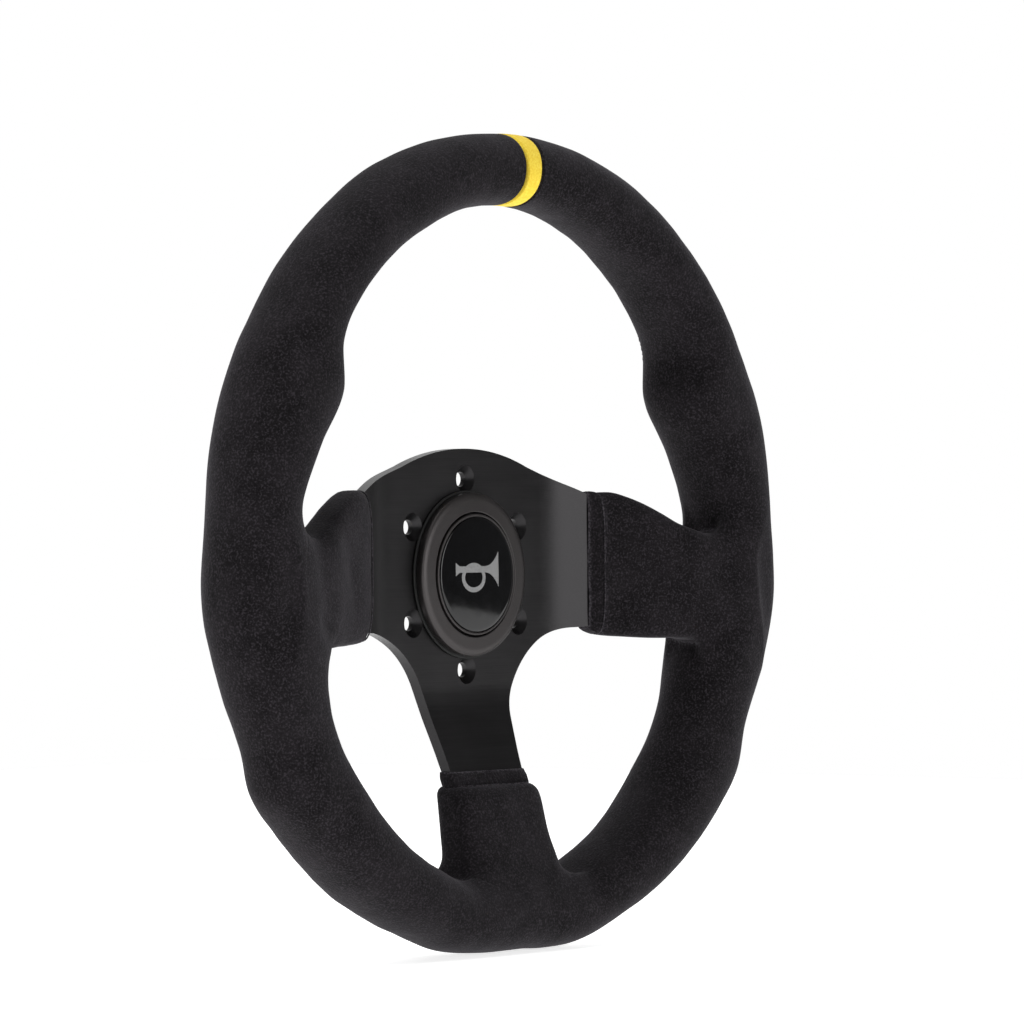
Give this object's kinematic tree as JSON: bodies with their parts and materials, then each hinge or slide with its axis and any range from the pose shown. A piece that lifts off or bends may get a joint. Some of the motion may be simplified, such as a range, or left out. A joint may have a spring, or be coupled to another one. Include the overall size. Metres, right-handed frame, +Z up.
{
  "type": "flat-bottomed steering wheel",
  "caption": "Three-spoke flat-bottomed motorsport steering wheel with a suede rim, thumb rests, a yellow centre band, a dished alloy spoke plate and a spring-loaded horn push.",
  "frame": {"origin": "centre of the bolt circle, on the rear face of the hub plate", "axes": "+Y along the steering axis, away from the driver and into the hub boss; +X to the driver's right; +Z up with the wheel straight ahead"},
  "size_m": [0.3112, 0.0559, 0.2983],
  "materials": {
    "black_suede": "short brushed nap",
    "yellow_suede": "short brushed nap",
    "anodised_plate": "fine brushed, black anodised",
    "satin_bezel": "satin black anodised",
    "gloss_lens": "polished dome",
    "emblem_print": "screen printed",
    "rubber": "moulded",
    "nylon": "moulded",
    "foam": "moulded foam",
    "brass": "pressed sheet",
    "zinc_steel": "zinc plated",
    "spring_steel": "bright drawn wire"
  },
  "bodies": {
    "wheel": {"spoke_frame": "anodised_plate", "rim_hoop": "zinc_steel", "rivet_right_upper": "zinc_steel", "rivet_right_lower": "zinc_steel", "rivet_left_upper": "zinc_steel", "rivet_left_lower": "zinc_steel", "rivet_bottom_right": "zinc_steel", "rivet_bottom_left": "zinc_steel", "grip_foam": "foam", "suede_upper_right": "black_suede", "suede_lower_right": "black_suede", "suede_upper_left": "black_suede", "suede_lower_left": "black_suede", "marker_band": "yellow_suede", "suede_boot_right": "black_suede", "suede_boot_left": "black_suede", "suede_boot_bottom": "black_suede", "hem_right": "black_suede", "hem_left": "black_suede", "hem_bottom": "black_suede", "horn_bezel": "satin_bezel", "horn_gasket": "rubber", "retaining_clip": "spring_steel", "contact_ring": "brass", "return_spring": "spring_steel", "horn_base": "nylon", "terminal_right": "brass", "terminal_left": "brass", "base_screw_top": "zinc_steel", "base_screw_left": "zinc_steel", "base_screw_right": "zinc_steel"},
    "horn_push": {"horn_cap": "satin_bezel", "horn_emblem": "emblem_print", "horn_lens": "gloss_lens", "contact_plate": "brass", "contact_screw": "zinc_steel"}
  },
  "joints": [
    {"name": "horn_press", "type": "slide", "parent": "wheel", "child": "horn_push", "axis": [0, 1, 0], "range_m": [0, 0.0025], "stiffness_N_per_m": 1200, "springref_m": -0.003, "deforming": ["return_spring"]}
  ]
}
